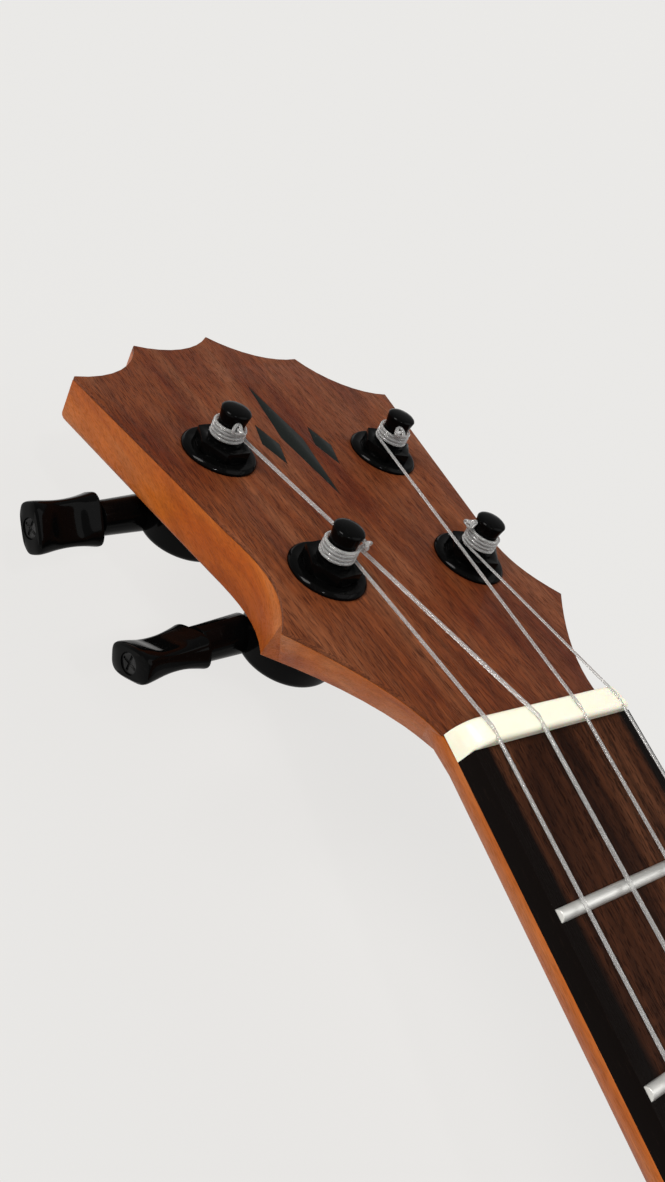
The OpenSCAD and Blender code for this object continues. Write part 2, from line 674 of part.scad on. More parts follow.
// Button: a bow-tie paddle with a hollow in each broad face
waist_half = [4.1, 2.2];                 // half width and half thickness in the middle
end_gain = [0.8, 1.3];                    // how much larger they are at the ends
tip_round = [0.5, 0.35];                 // how much the outer end is drawn in again
function button_size(t, i) = waist_half[i] + end_gain[i] * pow(2 * t - 1, 2) - tip_round[i] * pow(t, 12);
button_rings = [0, 0.04, 0.15, 0.27, 0.39, 0.51, 0.63, 0.75, 0.87, 0.96, 1];
function bow(a, p) = sign(cos(a)) * pow(abs(cos(a)), p);
function button_ring(t, turn) = let (e = t == 0 || t == 1 ? 0.88 : 1)
    [for (i = [0:19]) let (a = -18 * i, v = e * button_size(t, 0) * bow(a, 0.6),
        w = e * button_size(t, 1) * bow(a - 90, 0.6))
        [button_start + t * (button_end - button_start),
            worm_offset + v * cos(turn) - w * sin(turn), worm_h + v * sin(turn) + w * cos(turn)]];
module button(k) {
    color("#0c0c0c") tuner(k) difference() {
        loft([for (t = button_rings) button_ring(t, button_turn[k])]);
        shaft_bar(shaft_r, button_start - 1, shaft_end);
        shaft_bar(screw_shank_r, shaft_end - 1, button_end + 1);
        shaft_bar(button_screw_r + 0.1, button_end - screw_seat, button_end + 1);
    }
}
module button_screw(k) {
    color("#2a2a2a") tuner(k) difference() {
        union() {
            shaft_bar(button_screw_r, button_end - screw_seat, button_end - screw_sink);
            shaft_bar(screw_shank_r, shaft_end - 2.5, button_end - screw_seat + 0.1);
        }
        translate([button_end, worm_offset, worm_h]) cube([1, cross_w, cross_len], center = true);
        translate([button_end, worm_offset, worm_h]) cube([1, cross_len, cross_w], center = true);
    }
}

soundboard();
back_plate();
side(-1);  // side_bass
side(1);  // side_treble
neck_block();
tail_block();
linings(top_z - lining_h);  // top_linings
linings(plate_t);  // back_linings
top_braces();
back_braces();
bridge_plate();
rosette();
bridge();
saddle();
neck();
headstock_veneer();
headstock_inlay();
fingerboard();
frets();
nut();
position_dots();
heel_cap();
neck_bolt();
neck_insert();
string(0);  // string_g
string(1);  // string_c
string(2);  // string_e
string(3);  // string_a
tuner_covers();
tuner_washers();
tuner_bushings();
tuner_mount_screws();
housing(0);  // housing_g
housing(1);  // housing_c
housing(2);  // housing_e
housing(3);  // housing_a
worm(0);  // worm_g
worm(1);  // worm_c
worm(2);  // worm_e
worm(3);  // worm_a
button(0);  // button_g
button(1);  // button_c
button(2);  // button_e
button(3);  // button_a
button_screw(0);  // button_screw_g
button_screw(1);  // button_screw_c
button_screw(2);  // button_screw_e
button_screw(3);  // button_screw_a
post(0);  // post_g
post(1);  // post_c
post(2);  // post_e
post(3);  // post_a
wheel(0);  // wheel_g
wheel(1);  // wheel_c
wheel(2);  // wheel_e
wheel(3);  // wheel_a
winding(0);  // winding_g
winding(1);  // winding_c
winding(2);  // winding_e
winding(3);  // winding_a
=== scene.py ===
import bmesh
import bpy
import json
import math
from mathutils import Matrix, Vector

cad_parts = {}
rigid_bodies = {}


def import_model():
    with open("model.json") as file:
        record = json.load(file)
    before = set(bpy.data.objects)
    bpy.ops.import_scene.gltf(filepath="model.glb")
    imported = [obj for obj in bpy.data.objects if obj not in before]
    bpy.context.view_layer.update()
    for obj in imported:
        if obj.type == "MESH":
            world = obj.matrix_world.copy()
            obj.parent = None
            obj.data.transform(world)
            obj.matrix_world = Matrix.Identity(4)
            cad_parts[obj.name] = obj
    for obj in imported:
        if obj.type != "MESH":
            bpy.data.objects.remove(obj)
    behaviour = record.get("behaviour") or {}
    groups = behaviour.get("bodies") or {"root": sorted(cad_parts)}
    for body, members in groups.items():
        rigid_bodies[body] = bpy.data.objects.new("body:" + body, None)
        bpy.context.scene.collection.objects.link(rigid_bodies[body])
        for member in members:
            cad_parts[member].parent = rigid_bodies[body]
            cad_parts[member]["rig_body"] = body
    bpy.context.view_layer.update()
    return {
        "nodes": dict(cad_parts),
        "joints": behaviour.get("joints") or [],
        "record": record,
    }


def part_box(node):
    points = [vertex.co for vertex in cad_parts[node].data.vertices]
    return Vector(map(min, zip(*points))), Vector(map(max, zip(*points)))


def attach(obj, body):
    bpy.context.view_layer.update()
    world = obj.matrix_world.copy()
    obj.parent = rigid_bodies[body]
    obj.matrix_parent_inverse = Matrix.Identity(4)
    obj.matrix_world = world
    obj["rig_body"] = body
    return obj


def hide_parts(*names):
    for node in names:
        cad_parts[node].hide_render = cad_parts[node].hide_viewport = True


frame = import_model()
MM = 0.001
NODES = frame["nodes"]
RECORD = frame["record"]
SLOT = {s["node"]: s["material_slot"] for s in RECORD["subparts"]}
JOINT = {j["name"]: j for j in frame["joints"]}
STRINGS = ["g", "c", "e", "a"]

# ---------- Places, from the frame ----------
NUT_LOW, NUT_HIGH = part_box("nut")
BOARD_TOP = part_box("fingerboard")[1].z
SADDLE_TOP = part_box("saddle")[1].z
BRIDGE_LOW, BRIDGE_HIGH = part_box("bridge")
FACE_UP = Vector(JOINT["post_g"]["axis"])
FACE_ALONG = FACE_UP.cross(Vector((1, 0, 0)))
TILT = math.atan2(FACE_UP.y, FACE_UP.z)


def face_origin():
    """The point on the headstock's face at the nut's back edge, on the middle line."""
    post = Vector(JOINT["post_g"]["pos_m"])
    s = (post.y - NUT_HIGH.y) / FACE_ALONG.y
    foot = post - FACE_ALONG * s
    return Vector((0, foot.y, foot.z))


FACE_ORIGIN = face_origin()


def on_face(x, s, h):
    """A point x across, s along the headstock's face from the nut, and h above it."""
    return FACE_ORIGIN + Vector((x, 0, 0)) + FACE_ALONG * s + FACE_UP * h


def face_place(p):
    """x, s and h of a point."""
    d = p - FACE_ORIGIN
    return Vector((p.x, d.dot(FACE_ALONG), d.dot(FACE_UP)))


# ---------- Materials ----------
BORDER_FADE = 1.2 * MM
BORDER_WAVER = 2.0 * MM
BLACKENED = (0.0035, 0.002, 0.0015)


class Shader:
    """A node material, with a short call for each kind of node that it is built from."""

    def __init__(self, name):
        self.material = bpy.data.materials.new(name)
        self.material.use_nodes = True
        self.nodes = self.material.node_tree.nodes
        self.links = self.material.node_tree.links
        self.bsdf = self.nodes["Principled BSDF"]

    def set(self, **values):
        for key, value in values.items():
            self.bsdf.inputs[key.replace("_", " ")].default_value = value

    def link(self, output, socket):
        self.links.new(output, self.bsdf.inputs[socket])

    def place(self, size, turn=(0, 0, 0), attribute=None):
        """Coordinates counted in cells of the given size, on axes turned by turn."""
        if attribute:
            source = self.nodes.new("ShaderNodeAttribute")
            source.attribute_name = attribute
            vector = source.outputs["Vector"]
        else:
            vector = self.nodes.new("ShaderNodeTexCoord").outputs["Object"]
        mapping = self.nodes.new("ShaderNodeMapping")
        mapping.vector_type = "TEXTURE"
        mapping.inputs["Rotation"].default_value = turn
        mapping.inputs["Scale"].default_value = size
        self.links.new(vector, mapping.inputs["Vector"])
        return mapping.outputs["Vector"]

    def noise(self, vector, detail=2, roughness=0.5, distortion=0.0):
        node = self.nodes.new("ShaderNodeTexNoise")
        node.inputs["Scale"].default_value = 1
        node.inputs["Detail"].default_value = detail
        node.inputs["Roughness"].default_value = roughness
        node.inputs["Distortion"].default_value = distortion
        self.links.new(vector, node.inputs["Vector"])
        return node.outputs["Fac"]

    def ramp(self, value, stops):
        """A colour ramp; each stop is (position, colour or grey)."""
        node = self.nodes.new("ShaderNodeValToRGB")
        while len(node.color_ramp.elements) < len(stops):
            node.color_ramp.elements.new(0.5)
        for element, (position, colour) in zip(node.color_ramp.elements, stops):
            grey = isinstance(colour, (int, float))
            element.position = position
            element.color = (colour, colour, colour, 1) if grey else (*colour, 1)
        self.links.new(value, node.inputs["Fac"])
        return node.outputs["Color"]

    def mix(self, factor, a, b, blend="MIX"):
        node = self.nodes.new("ShaderNodeMix")
        node.data_type = "RGBA"
        node.blend_type = blend
        for value, socket in ((factor, node.inputs[0]), (a, node.inputs[6]), (b, node.inputs[7])):
            if isinstance(value, (int, float)):
                socket.default_value = value
            elif isinstance(value, tuple):
                socket.default_value = (*value, 1)
            else:
                self.links.new(value, socket)
        return node.outputs[2]

    def sum(self, a, b, weight):
        """a plus weight times b."""
        node = self.nodes.new("ShaderNodeMath")
        node.operation = "MULTIPLY_ADD"
        self.links.new(b, node.inputs[0])
        node.inputs[1].default_value = weight
        if isinstance(a, (int, float)):
            node.inputs[2].default_value = a
        else:
            self.links.new(a, node.inputs[2])
        return node.outputs["Value"]

    def border(self, start, waver):
        """1 beyond the distance start from the middle line, with a wavering edge."""
        split = self.nodes.new("ShaderNodeSeparateXYZ")
        self.links.new(self.nodes.new("ShaderNodeTexCoord").outputs["Object"], split.inputs["Vector"])
        size = self.nodes.new("ShaderNodeMath")
        size.operation = "ABSOLUTE"
        self.links.new(split.outputs["X"], size.inputs[0])
        ranged = self.nodes.new("ShaderNodeMapRange")
        ranged.inputs["From Min"].default_value = start
        ranged.inputs["From Max"].default_value = start + BORDER_FADE
        self.links.new(self.sum(size.outputs["Value"], waver, BORDER_WAVER), ranged.inputs["Value"])
        return ranged.outputs["Result"]

    def bump(self, height, distance):
        node = self.nodes.new("ShaderNodeBump")
        node.inputs["Strength"].default_value = 1.0
        node.inputs["Distance"].default_value = distance
        self.links.new(height, node.inputs["Height"])
        self.link(node.outputs["Normal"], "Normal")


def cell(across, along, axis=1):
    """Size of a grain cell in metres, long along one axis."""
    size = [across * MM] * 3
    size[axis] = along * MM
    return tuple(size)


def wood(name, dark, base, light, axis=1, turn=(0, 0, 0), attribute=None, rough=0.42, pores=0.6,
         streak=0.5, shine=0.25, edge=None, figure=(11, 60), line=(1.6, 26), vessel=(0.22, 1.7)):
    """Straight-grained wood: broad figure, streaks, short dark pores and fibre in its gloss.
    figure, line and vessel give the width and length of a cell of the figure, the streaks and the
    pores in millimetres. edge gives the half width at which a blackened border begins."""
    s = Shader(name)
    cloud = s.noise(s.place(cell(*figure, axis), turn, attribute), 3, 0.6, 0.5)
    streaks = s.noise(s.place(cell(*line, axis), turn, attribute), 4, 0.6, 0.3)
    fibres = s.noise(s.place(cell(0.2, 4, axis), turn, attribute), 3, 0.65)
    pore = s.noise(s.place(cell(*vessel, axis), turn, attribute), 2, 0.5)
    holes = s.ramp(pore, [(0.50, 0.0), (0.62, 1.0)])
    colour = s.ramp(cloud, [(0.32, dark), (0.5, base), (0.7, light)])
    shade = s.ramp(streaks, [(0.35, 1 - streak), (0.62, 1.0)])
    colour = s.mix(0.75, colour, shade, "MULTIPLY")
    fibre_shade = s.ramp(fibres, [(0.3, 0.78), (0.7, 1.08)])
    colour = s.mix(0.8, colour, fibre_shade, "MULTIPLY")
    ink = tuple(0.25 * c for c in dark)
    depth = s.sum(0.0, holes, pores)
    colour = s.mix(depth, colour, ink)
    if edge:
        colour = s.mix(s.border(edge, streaks), colour, BLACKENED)
    s.link(colour, "Base Color")
    s.link(s.sum(s.sum(rough, fibres, 0.12), holes, 0.15), "Roughness")
    s.bump(s.sum(s.sum(0.0, fibres, 0.25), holes, -0.8), 0.03 * MM)
    s.set(Specular_IOR_Level=shine)
    return s.material


def black_gloss(name, rough=0.2, grit=0.08, tint=(0.0016, 0.0016, 0.0016), shine=0.03, coat=0.06):
    """Black chrome or moulded plastic: small waves in the gloss and a few fine scuffs."""
    s = Shader(name)
    waves = s.noise(s.place(cell(2.4, 2.4)), 2)
    fine = s.noise(s.place(cell(0.12, 0.12)), 2)
    scuffs = s.ramp(s.noise(s.place(cell(0.3, 3.5)), 4, 0.7), [(0.6, 0.0), (0.75, 1.0)])
    s.set(Specular_IOR_Level=shine, Coat_Weight=coat, Coat_Roughness=0.03)
    s.link(s.mix(scuffs, tint, tuple(4 * c for c in tint)), "Base Color")
    s.link(s.sum(s.sum(s.sum(rough, waves, 0.05), fine, grit), scuffs, 0.1), "Roughness")
    s.bump(s.sum(s.sum(0.0, waves, 1.0), fine, 0.15), 0.02 * MM)
    return s.material


def metal(name, colour, rough=0.25, brush=(0.08, 3.0), axis=0):
    """Drawn or turned metal with fine lines along one axis."""
    s = Shader(name)
    lines = s.noise(s.place(cell(*brush, axis)), 3)
    haze = s.noise(s.place(cell(4, 4)), 2)
    s.set(Metallic=1.0)
    s.link(s.mix(haze, tuple(0.82 * c for c in colour), colour), "Base Color")
    s.link(s.sum(s.sum(rough, lines, 0.18), haze, 0.08), "Roughness")
    s.bump(lines, 0.006 * MM)
    return s.material


def bone(name, colour, deep):
    """Polished bone: a faint cloud, tiny pits, light under the surface."""
    s = Shader(name)
    cloud = s.noise(s.place(cell(3, 7, 0)), 3)
    pits = s.ramp(s.noise(s.place(cell(0.18, 0.5, 0)), 1), [(0.66, 0.0), (0.74, 1.0)])
    s.link(s.mix(s.sum(0.0, pits, 0.35), s.mix(cloud, deep, colour), deep), "Base Color")
    s.link(s.sum(s.sum(0.28, cloud, 0.12), pits, 0.2), "Roughness")
    s.bump(s.sum(s.sum(0.0, cloud, 0.4), pits, -0.5), 0.02 * MM)
    s.set(Subsurface_Weight=0.25, Subsurface_Scale=1.2 * MM)
    return s.material


def clear_string(name):
    """Clear fluorocarbon: milky inside, with a polished skin and faint drawing marks."""
    s = Shader(name)
    cloud = s.noise(s.place(cell(20, 60)), 1)
    s.link(s.mix(cloud, (0.74, 0.73, 0.72), (0.88, 0.88, 0.87)), "Base Color")
    s.link(s.sum(0.1, cloud, 0.06), "Roughness")
    s.bump(cloud, 0.004 * MM)
    s.set(Transmission_Weight=0.74, IOR=1.42, Specular_IOR_Level=0.7)
    return s.material


HEAD_TURN = (-TILT, 0, 0)
BODY_GRAIN = {"streak": 0.35, "figure": (14, 300), "line": (2.2, 140)}
BODY_TONES = ((0.18, 0.046, 0.012), (0.25, 0.073, 0.019), (0.33, 0.108, 0.032))
ROSEWOOD_GRAIN = {"rough": 0.42, "pores": 0.8, "streak": 0.75, "shine": 0.12}
ROSEWOOD_TONES = ((0.014, 0.0045, 0.002), (0.045, 0.0145, 0.006), (0.105, 0.037, 0.017))
MATERIALS = {
    "mahogany": wood("satin_mahogany", *BODY_TONES, **BODY_GRAIN),
    "mahogany_neck": wood("neck_mahogany", (0.37, 0.070, 0.004), (0.48, 0.113, 0.010),
                          (0.58, 0.185, 0.050), rough=0.4, pores=0.2, streak=0.3, shine=0.18),
    "face_veneer": wood("face_veneer", (0.125, 0.021, 0.004), (0.196, 0.048, 0.013),
                        (0.29, 0.096, 0.038), turn=HEAD_TURN, rough=0.42, pores=0.7, streak=0.48,
                        shine=0.13, figure=(9, 45), line=(0.9, 24), vessel=(0.13, 2.4)),
    "rosewood": wood("rosewood", *ROSEWOOD_TONES, **ROSEWOOD_GRAIN),
    "spruce": wood("spruce", (0.42, 0.27, 0.13), (0.55, 0.37, 0.19), (0.64, 0.46, 0.26), axis=0,
                   rough=0.6, pores=0.1, streak=0.3),
    "bone": bone("bone", (0.98, 0.95, 0.80), (0.93, 0.88, 0.68)),
    "fret_metal": metal("fret_metal", (0.86, 0.85, 0.81), 0.38),
    "string": clear_string("clear_string"),
    "tuner_shell": black_gloss("black_shell", 0.08, 0.05),
    "tuner_button": black_gloss("black_button", 0.06, 0.05),
    "gear_steel": metal("gear_steel", (0.42, 0.42, 0.43), 0.3),
    "gear_brass": metal("gear_brass", (0.72, 0.50, 0.22), 0.3),
    "pearl": bone("pearl", (0.86, 0.85, 0.80), (0.62, 0.66, 0.64)),
    "dark_inlay": black_gloss("dark_inlay", 0.45, 0.15, (0.010, 0.012, 0.011)),
}
SIDE_MAHOGANY = wood("side_mahogany", *BODY_TONES, axis=0, attribute="grain", **BODY_GRAIN)
BRIDGE_ROSEWOOD = wood("bridge_rosewood", *ROSEWOOD_TONES, axis=0, **ROSEWOOD_GRAIN)
BORDER_WIDTH = 2.6 * MM
BOARD_BORDER = 0.5 * (NUT_HIGH.x - NUT_LOW.x) - BORDER_WIDTH
BOARD_ROSEWOOD = wood("board_rosewood", (0.020, 0.006, 0.0025), (0.066, 0.021, 0.0085),
                      (0.150, 0.055, 0.024), rough=0.45, pores=0.7, streak=0.8, shine=0.05,
                      edge=BOARD_BORDER)
BOARD_EDGE = black_gloss("board_edge", 0.5, 0.1, BLACKENED, 0.03, 0.0)
SCREW_BLACK = metal("screw_black", (0.03, 0.03, 0.03), 0.3)


# ---------- Pieces ----------
def add_piece(name, mesh, node, materials):
    """A piece that stands for a CAD node: same body, with the materials given."""
    piece = bpy.data.objects.new(name, mesh)
    bpy.context.scene.collection.objects.link(piece)
    for material in materials:
        piece.data.materials.append(material)
    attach(piece, NODES[node]["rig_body"])
    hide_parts(node)
    return piece


WELD = 0.001 * MM
SAME_FACE = math.radians(0.5)


def cad_shape(node):
    """The CAD node's shape as a welded bmesh with whole flat faces."""
    shape = bmesh.new()
    shape.from_mesh(NODES[node].data)
    bmesh.ops.remove_doubles(shape, verts=shape.verts, dist=WELD)
    bmesh.ops.dissolve_limit(shape, angle_limit=SAME_FACE, verts=shape.verts, edges=shape.edges)
    return shape


def finish_mesh(shape, name):
    mesh = bpy.data.meshes.new(name)
    shape.to_mesh(mesh)
    shape.free()
    mesh.shade_smooth()
    mesh.update()
    return mesh


EDGE_ANGLE = math.radians(32)


def round_edges(piece, width, segments=2):
    """A small rounding, its width in millimetres, on every edge sharper than EDGE_ANGLE."""
    bevel = piece.modifiers.new("rounded_edges", "BEVEL")
    bevel.width = width * MM
    bevel.segments = segments
    bevel.limit_method = "ANGLE"
    bevel.angle_limit = EDGE_ANGLE
    bevel.harden_normals = True
    bevel.use_clamp_overlap = True


NUT_RISE = 2 * MM
NUT_END_R = 3.2 * MM
NUT_FALL = 0.7 * MM
NUT_EDGE = 0.9 * MM
EDGE_STEPS = 8
END_STEPS = 14
NUT_CREASE = math.radians(40)


def nut_section(sink):
    """Outline of the nut across its length, lowered by sink, from its front foot to its back one."""
    top = BOARD_TOP + NUT_RISE - sink
    front, back, foot = NUT_LOW.y, NUT_HIGH.y, NUT_LOW.z
    edge = min(NUT_EDGE, 0.5 * (top - NUT_FALL - foot))
    line = [(front, foot)]
    for i in range(EDGE_STEPS + 1):
        a = math.radians(180 - 90 * i / EDGE_STEPS)
        line.append((front + edge + edge * math.cos(a), top - edge + edge * math.sin(a)))
    for i in range(EDGE_STEPS + 1):
        a = math.radians(90 - 90 * i / EDGE_STEPS)
        line.append((back - edge + edge * math.cos(a), top - NUT_FALL - edge + edge * math.sin(a)))
    return line + [(back, foot)]


def nut():
    """The nut with its rounded ends and softened top edges."""
    half = 0.5 * (NUT_HIGH.x - NUT_LOW.x)
    turns = [math.radians(90 * i / END_STEPS) for i in range(END_STEPS + 1)]
    end = [(half - NUT_END_R * (1 - math.sin(a)), NUT_END_R * (1 - math.cos(a))) for a in turns]
    stations = [(-x, sink) for x, sink in end[::-1]] + end
    shape = bmesh.new()
    rings = [[shape.verts.new((x, y, z)) for y, z in nut_section(sink)] for x, sink in stations]
    count = len(rings[0])
    for a, b in zip(rings, rings[1:]):
        for i in range(count):
            j = (i + 1) % count
            shape.faces.new((a[i], b[i], b[j], a[j]))
    shape.faces.new(rings[0])
    shape.faces.new(rings[-1][::-1])
    bmesh.ops.recalc_face_normals(shape, faces=shape.faces)
    mesh = finish_mesh(shape, "rounded_nut_mesh")
    mesh.set_sharp_from_angle(angle=NUT_CREASE)
    add_piece("rounded_nut", mesh, "nut", [MATERIALS["bone"]])


BACK_ROUND = 1.8 * MM
BACK_CRISP = 0.3 * MM
CRISP_UNTIL = 34 * MM
SOFT_FROM = 60 * MM
BACK_SEGMENTS = 5
TRIAL_ROUND = 1 * MM
HEAD_FROM = 20 * MM
SAME_HEIGHT = 0.05 * MM
RIM_CREASE = math.radians(50)


def back_rim(shape):
    """The edges round the back of the headstock, without its holes."""
    head = [v for v in shape.verts if v.co.y > NUT_HIGH.y + HEAD_FROM]
    back = min(face_place(v.co).z for v in head)
    flat = {v for v in shape.verts if abs(face_place(v.co).z - back) < SAME_HEIGHT}
    crease = [e for e in shape.edges if flat.issuperset(e.verts) and e.calc_face_angle(0) > RIM_CREASE]
    start = max(crease, key=lambda e: abs(e.verts[0].co.x))
    rim = {start}
    ends = set(start.verts)
    found = True
    while found:
        found = {e for e in crease if e not in rim and not ends.isdisjoint(e.verts)}
        rim |= found
        ends |= {v for e in found for v in e.verts}
    return list(rim)


def rounding(s):
    """How round the back edge is at s along the face: crisp by the nut, soft past the corners."""
    t = min(max((s - CRISP_UNTIL) / (SOFT_FROM - CRISP_UNTIL), 0), 1)
    return BACK_CRISP + (BACK_ROUND - BACK_CRISP) * t * t * (3 - 2 * t)


def neck():
    """The neck with a soft edge round the headstock's back and crisp ones elsewhere. The edge is
    rounded evenly first, then each rounding is scaled about the corner that it was made from."""
    shape = cad_shape("neck")
    rim = back_rim(shape)
    corners = [v.co.copy() for v in {v for e in rim for v in e.verts}]
    made = bmesh.ops.bevel(shape, geom=rim, offset=TRIAL_ROUND, segments=BACK_SEGMENTS, profile=0.5,
                           affect="EDGES", clamp_overlap=False)
    for vertex in made["verts"]:
        corner = min(corners, key=lambda c: (c - vertex.co).length)
        vertex.co = corner + (vertex.co - corner) * (rounding(face_place(corner).y) / TRIAL_ROUND)
    piece = add_piece("neck_finished", finish_mesh(shape, "neck_mesh"), "neck", [MATERIALS[SLOT["neck"]]])
    round_edges(piece, 0.3)


def refined(node, width, segments=2, material=None):
    """The CAD node's own shape with its edges rounded, the width in millimetres."""
    mesh = finish_mesh(cad_shape(node), node + "_mesh")
    piece = add_piece(node + "_finished", mesh, node, [material or MATERIALS[SLOT[node]]])
    round_edges(piece, width, segments)
    return piece


def dress(node):
    """A better material on a CAD node that stays as it is."""
    mesh = NODES[node].data
    mesh.materials.clear()
    mesh.materials.append(MATERIALS[SLOT[node]])


GRAIN_CENTRE = 0.4


def lay_grain(piece):
    """Grain that follows a bent side: distance round the body, height, and zero."""
    mesh = piece.data
    attribute = mesh.attributes.new("grain", "FLOAT_VECTOR", "POINT")
    low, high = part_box("soundboard")
    middle = GRAIN_CENTRE * (low.y + high.y)
    reach = 0.5 * (high.x - low.x)
    for vertex, value in zip(mesh.vertices, attribute.data):
        angle = math.atan2(vertex.co.x, vertex.co.y - middle)
        value.vector = (angle * reach, vertex.co.z, 0)


def sides():
    """The two bent sides, their grain running round the body."""
    for node in ("side_bass", "side_treble"):
        lay_grain(refined(node, 0.15, material=SIDE_MAHOGANY))


FACES_SIDEWAYS = 0.7


def fingerboard():
    """The board with its rolled, blackened edges in a second material."""
    piece = refined("fingerboard", 0.5, 3, material=BOARD_ROSEWOOD)
    piece.data.materials.append(BOARD_EDGE)
    for face in piece.data.polygons:
        if abs(face.normal.x) > FACES_SIDEWAYS:
            face.material_index = 1
    piece.modifiers["rounded_edges"].material = -1


def tube(name, points, radius, material):
    """A round curve through the points."""
    data = bpy.data.curves.new(name, "CURVE")
    data.dimensions = "3D"
    data.bevel_depth = radius
    data.bevel_resolution = 3
    data.use_fill_caps = True
    spline = data.splines.new("POLY")
    spline.points.add(len(points) - 1)
    for point, p in zip(spline.points, points):
        point.co = (*p, 1)
    piece = bpy.data.objects.new(name, data)
    data.materials.append(material)
    bpy.context.scene.collection.objects.link(piece)
    return piece


def through(points, steps=6):
    """A smooth line through the points (Catmull-Rom)."""
    line = []
    for i in range(len(points) - 1):
        a, b = points[max(i - 1, 0)], points[i]
        c, d = points[i + 1], points[min(i + 2, len(points) - 1)]
        for k in range(steps):
            t = k / steps
            line.append(0.5 * ((2 * b) + (c - a) * t + (2 * a - 5 * b + 4 * c - d) * t * t
                               + (3 * b - a - 3 * c + d) * t ** 3))
    return line + [points[-1]]


CAD_STRING_R = 0.35 * MM
GAUGE = {"g": 0.30 * MM, "c": 0.34 * MM, "e": 0.28 * MM, "a": 0.24 * MM}
WOUND_R = 0.32 * MM
WRAP_R = 2.85 * MM
WRAP_START = 3.7 * MM
WRAP_RISE = 0.69 * MM
CURL_R = 0.95 * MM
CURL_TURNS = 1.6
CURL_STEPS = 40
WRAP_TURNS = {"g": 3.9, "c": 3.66, "e": 3.8, "a": 4.05}
WRAP_STEPS = 28
CURL_OUT = 1.1 * MM
CURL_AHEAD = 0.6 * MM
CURL_RISE = 0.9
CURL_SWAY = 0.7
CURL_SWAY_RATE = 1.7
CURL_TIGHTENS = 0.35
TIE_BACK = BRIDGE_LOW.y
TIE_FRONT = BRIDGE_LOW.y + 11 * MM
TIE_HOLE = BRIDGE_HIGH.z - 2.4 * MM
TIE_START = 0.4 * MM
NEAR_BRIDGE = 1 * MM
NEAR_NUT = 1.5 * MM
NUT_BREAK = 0.02
# Places over the saddle's rounded top, as y and the drop below its crest
CREST = [(-1.3 * MM, 0.35 * MM), (-0.9 * MM, 0.1 * MM), (-0.4 * MM, 0), (0.7 * MM, 0)]


def string_ends(letter):
    """Where the string crosses the saddle and the nut, from its CAD tube."""
    co = [v.co for v in NODES["string_" + letter].data.vertices]
    bridge = [p for p in co if p.y < BRIDGE_LOW.y + NEAR_BRIDGE]
    nut = [p for p in co if abs(p.y - NUT_LOW.y) < NEAR_NUT]
    mean = [sum(p.x for p in group) / len(group) for group in (bridge, nut)]
    return mean[0], mean[1], sum(p.z for p in nut) / len(nut)


def leaving_point(letter, start):
    """Where the string meets its winding: the tangent point on the inner side of the post."""
    post = face_place(Vector(JOINT["post_" + letter]["pos_m"]))
    start = face_place(start)
    way = Vector((post.x - start.x, post.y - start.y))
    hand = 1 if post.x < 0 else -1
    angle = math.atan2(way.y, way.x) - hand * math.asin(WRAP_R / way.length)
    reach = math.sqrt(way.length ** 2 - WRAP_R ** 2)
    x, s = start.x + reach * math.cos(angle), start.y + reach * math.sin(angle)
    return post, hand, math.atan2(s - post.y, x - post.x), on_face(x, s, WRAP_START)


def tie(x, radius):
    """The end of a string: tail on the tie block, once round itself, over the block, and back
    through its hole."""
    top = BRIDGE_HIGH.z + radius
    tail = [(-1.5, TIE_BACK + 3.2 * MM, top), (-1.3, TIE_FRONT - 3 * MM, top),
            (-1.1, TIE_FRONT - 0.2 * MM, top - 0.1 * MM)]
    under = [(-0.8, TIE_FRONT + 0.7 * MM, TIE_HOLE + 1.7 * MM),
             (0.1, TIE_FRONT + 1.2 * MM, TIE_HOLE - 0.7 * MM),
             (0.9, TIE_FRONT + 0.8 * MM, TIE_HOLE + 1.4 * MM)]
    over = [(0.9, TIE_FRONT - 0.3 * MM, top - 0.05 * MM), (0.6, TIE_FRONT - 4 * MM, top),
            (0.2, TIE_BACK + 1.4 * MM, top)]
    inward = [(0.0, TIE_BACK + 0.2 * MM, top - 0.9 * MM),
              (0.0, TIE_BACK - 0.2 * MM, TIE_HOLE + 0.5 * MM), (0.0, TIE_BACK + 0.8 * MM, TIE_HOLE)]
    return through([Vector((x + dx * MM, y, z)) for dx, y, z in tail + under + over + inward])


def string(letter):
    """A string from its tie over saddle and nut to the post, and its winding that turns there."""
    saddle_x, nut_x, nut_z = string_ends(letter)
    radius = GAUGE[letter]
    nut_z -= CAD_STRING_R - radius
    nut_middle = 0.5 * (NUT_LOW.y + NUT_HIGH.y)
    on_nut = Vector((nut_x, nut_middle, nut_z))
    over_saddle = SADDLE_TOP + radius
    post, hand, start, leaving = leaving_point(letter, on_nut)
    low = Vector((saddle_x, TIE_FRONT + TIE_START, TIE_HOLE))
    crest = [Vector((saddle_x, y, over_saddle - drop)) for y, drop in CREST]
    break_point = [Vector((nut_x, NUT_LOW.y, nut_z)), on_nut, on_nut.lerp(leaving, NUT_BREAK)]
    line = tie(saddle_x, radius) + [low] + crest + break_point + [leaving]
    piece = tube("clear_string_" + letter, line, radius, MATERIALS["string"])
    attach(piece, "root")
    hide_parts("string_" + letter)
    coil = winding_line(post, hand, start, WRAP_TURNS[letter])
    wound = tube("wound_string_" + letter, coil, WOUND_R, MATERIALS["string"])
    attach(wound, "post_%s_turning" % letter)
    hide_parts("winding_" + letter)


